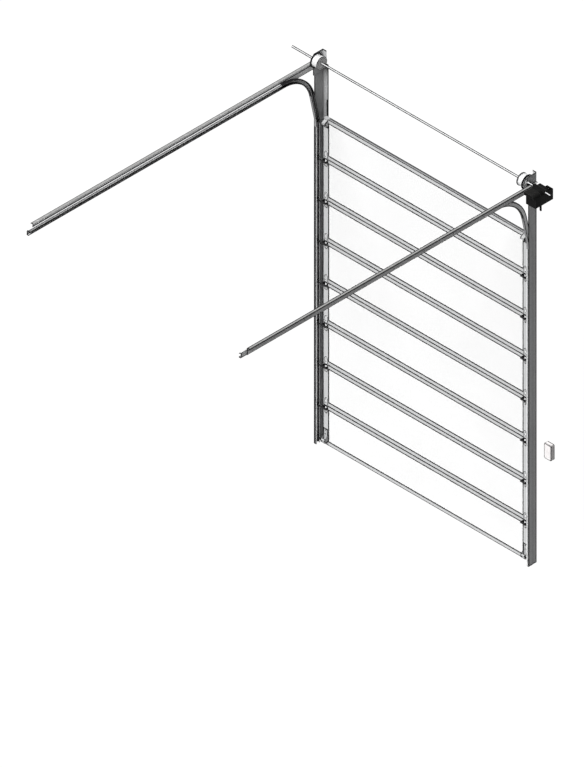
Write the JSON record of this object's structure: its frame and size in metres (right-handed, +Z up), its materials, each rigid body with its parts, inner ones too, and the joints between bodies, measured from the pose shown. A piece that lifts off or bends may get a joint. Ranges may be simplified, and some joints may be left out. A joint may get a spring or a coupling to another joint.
{
  "type": "sectional garage door",
  "caption": "Tall sectional overhead door in its tracks, with side hinges and rollers, a through shaft with cable drums, a shaft operator and a wall control box.",
  "frame": {"origin": "back face of the left wall angle's flange, on the flange's centre line, at floor level", "axes": "+X to the right as seen from the room, +Y out through the wall, +Z up"},
  "size_m": [3.635, 4.16, 4.755],
  "materials": {
    "galvanised_steel": "satin",
    "hinge_steel": "satin",
    "bright_steel": "satin",
    "stem_steel": "satin",
    "black_rubber": "matte",
    "cast_aluminium": "satin",
    "black_nylon": "matte",
    "white_panel": "satin",
    "grey_frame": "satin",
    "black_paint": "satin",
    "black_cover": "matte",
    "light_plastic": "matte"
  },
  "bodies": {
    "frame": {"left_wall_angle": "galvanised_steel", "right_wall_angle": "galvanised_steel", "left_vertical_track": "galvanised_steel", "right_vertical_track": "galvanised_steel", "left_curved_track": "galvanised_steel", "right_curved_track": "galvanised_steel", "left_horizontal_track": "galvanised_steel", "right_horizontal_track": "galvanised_steel", "left_horizontal_angle": "galvanised_steel", "right_horizontal_angle": "galvanised_steel", "left_bearing_plate": "galvanised_steel", "right_bearing_plate": "galvanised_steel", "left_shaft_bearing": "bright_steel", "right_shaft_bearing": "bright_steel", "left_side_seal": "black_rubber", "right_side_seal": "black_rubber", "operator_gear_case": "black_paint", "operator_front_cover": "black_cover", "operator_bracket": "black_paint", "operator_release_lever": "black_cover", "control_box": "light_plastic", "control_box_lid": "light_plastic"},
    "leaf": {"section_1": "white_panel", "section_2": "white_panel", "section_3": "white_panel", "section_4": "white_panel", "section_5": "white_panel", "section_6": "white_panel", "section_7": "white_panel", "section_rails": "grey_frame", "section_stiles": "grey_frame", "floor_seal": "black_rubber", "side_hinges": "hinge_steel", "bottom_brackets": "hinge_steel", "roller_stems": "stem_steel", "roller_wheels": "black_nylon"},
    "top_section": {"section_8": "white_panel", "top_section_rails": "grey_frame", "top_section_stiles": "grey_frame", "top_hinge_leaves": "hinge_steel", "top_brackets": "hinge_steel", "top_roller_stems": "stem_steel", "top_roller_wheels": "black_nylon"},
    "shaft": {"drive_shaft": "bright_steel", "left_cable_drum": "cast_aluminium", "right_cable_drum": "cast_aluminium"}
  },
  "joints": [
    {"name": "leaf_lift", "type": "slide", "parent": "frame", "child": "leaf", "axis": [0, 0, 1], "range_m": [0, 0.3]},
    {"name": "top_section_tilt", "type": "hinge", "parent": "leaf", "child": "top_section", "pos_m": [1.4625, -0.062, 3.485], "axis": [1, 0, 0], "range_deg": [0, 8.1]},
    {"name": "shaft_spin", "type": "hinge", "parent": "frame", "child": "shaft", "pos_m": [1.4625, -0.112, 4.67], "axis": [1, 0, 0], "range_deg": [0, 257]}
  ],
  "couplings": [
    {"joint": "top_section_tilt", "follows": "leaf_lift", "rad_per_m": 0.4675},
    {"joint": "shaft_spin", "follows": "leaf_lift", "rad_per_m": 14.925}
  ]
}
